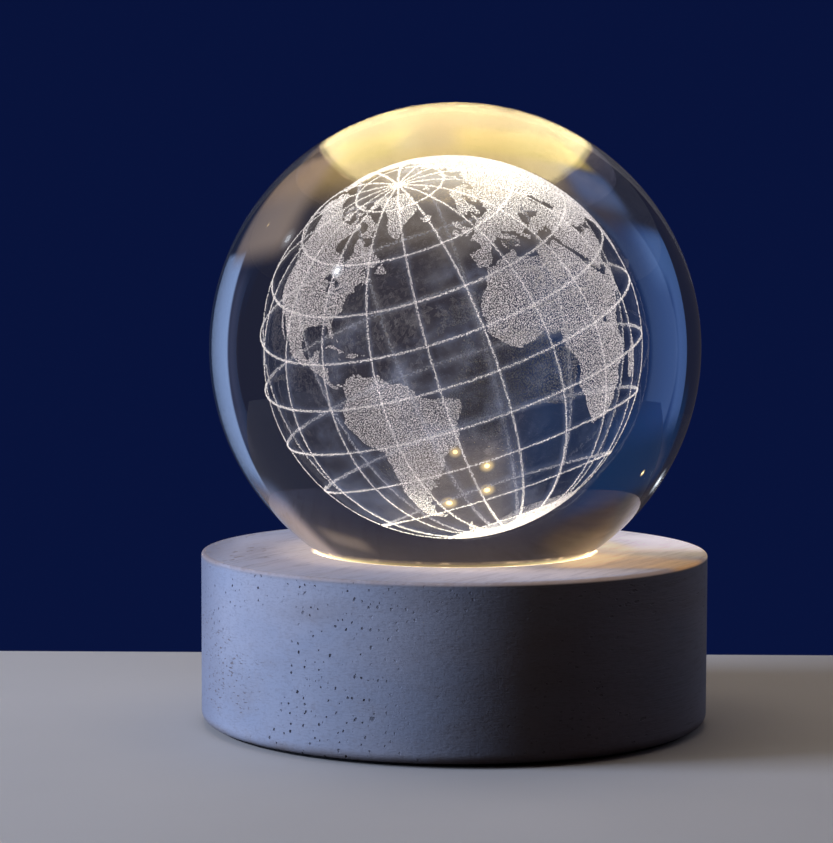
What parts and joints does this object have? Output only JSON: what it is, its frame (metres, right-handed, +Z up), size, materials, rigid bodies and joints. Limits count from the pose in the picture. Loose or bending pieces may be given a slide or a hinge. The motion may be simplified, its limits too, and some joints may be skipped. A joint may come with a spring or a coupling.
{
  "type": "crystal ball lamp",
  "caption": "Solid glass ball resting loose in the seat of a turned wooden base, lit from below by a ring of LEDs on a board in the base, with a power socket at the back.",
  "frame": {"origin": "centre of the underside of the foot pad, on the surface that the lamp stands on", "axes": "+Z up along the axis of the base and the ball, +Y towards the power socket at the back"},
  "size_m": [0.062, 0.062, 0.0758],
  "materials": {
    "clear_glass": "polished, with a white laser-engraved globe inside",
    "whitewashed_wood": "turned, whitewashed, matt",
    "black_foam": "closed-cell foam",
    "black_plastic": "moulded, matt",
    "zinc_plated_steel": "zinc plated",
    "white_board": "white solder mask",
    "led_body": "moulded, white",
    "led_phosphor": "warm white phosphor, lit",
    "resistor_ceramic": "printed black film on ceramic",
    "tinned_brass": "tinned",
    "red_lead": "wire insulation",
    "black_lead": "wire insulation"
  },
  "bodies": {
    "base": {"wood_base": "whitewashed_wood", "nonslip_pad": "black_foam", "bottom_cover": "black_plastic", "cover_screw_1": "zinc_plated_steel", "cover_screw_2": "zinc_plated_steel", "cover_screw_3": "zinc_plated_steel", "board_screw_1": "zinc_plated_steel", "board_screw_2": "zinc_plated_steel", "board_screw_3": "zinc_plated_steel", "led_board": "white_board", "led_package_1": "led_body", "led_package_2": "led_body", "led_package_3": "led_body", "led_package_4": "led_body", "led_package_5": "led_body", "led_package_6": "led_body", "led_phosphor_1": "led_phosphor", "led_phosphor_2": "led_phosphor", "led_phosphor_3": "led_phosphor", "led_phosphor_4": "led_phosphor", "led_phosphor_5": "led_phosphor", "led_phosphor_6": "led_phosphor", "resistor_1": "resistor_ceramic", "resistor_2": "resistor_ceramic", "socket_housing": "black_plastic", "socket_pin": "tinned_brass", "socket_spring": "tinned_brass", "lead_positive": "red_lead", "lead_negative": "black_lead"},
    "ball": {"crystal_ball": "clear_glass"}
  },
  "joints": [
    {"name": "ball_lift", "type": "slide", "parent": "base", "child": "ball", "axis": [0, 0, 1], "range_m": [0, 0.06]}
  ]
}
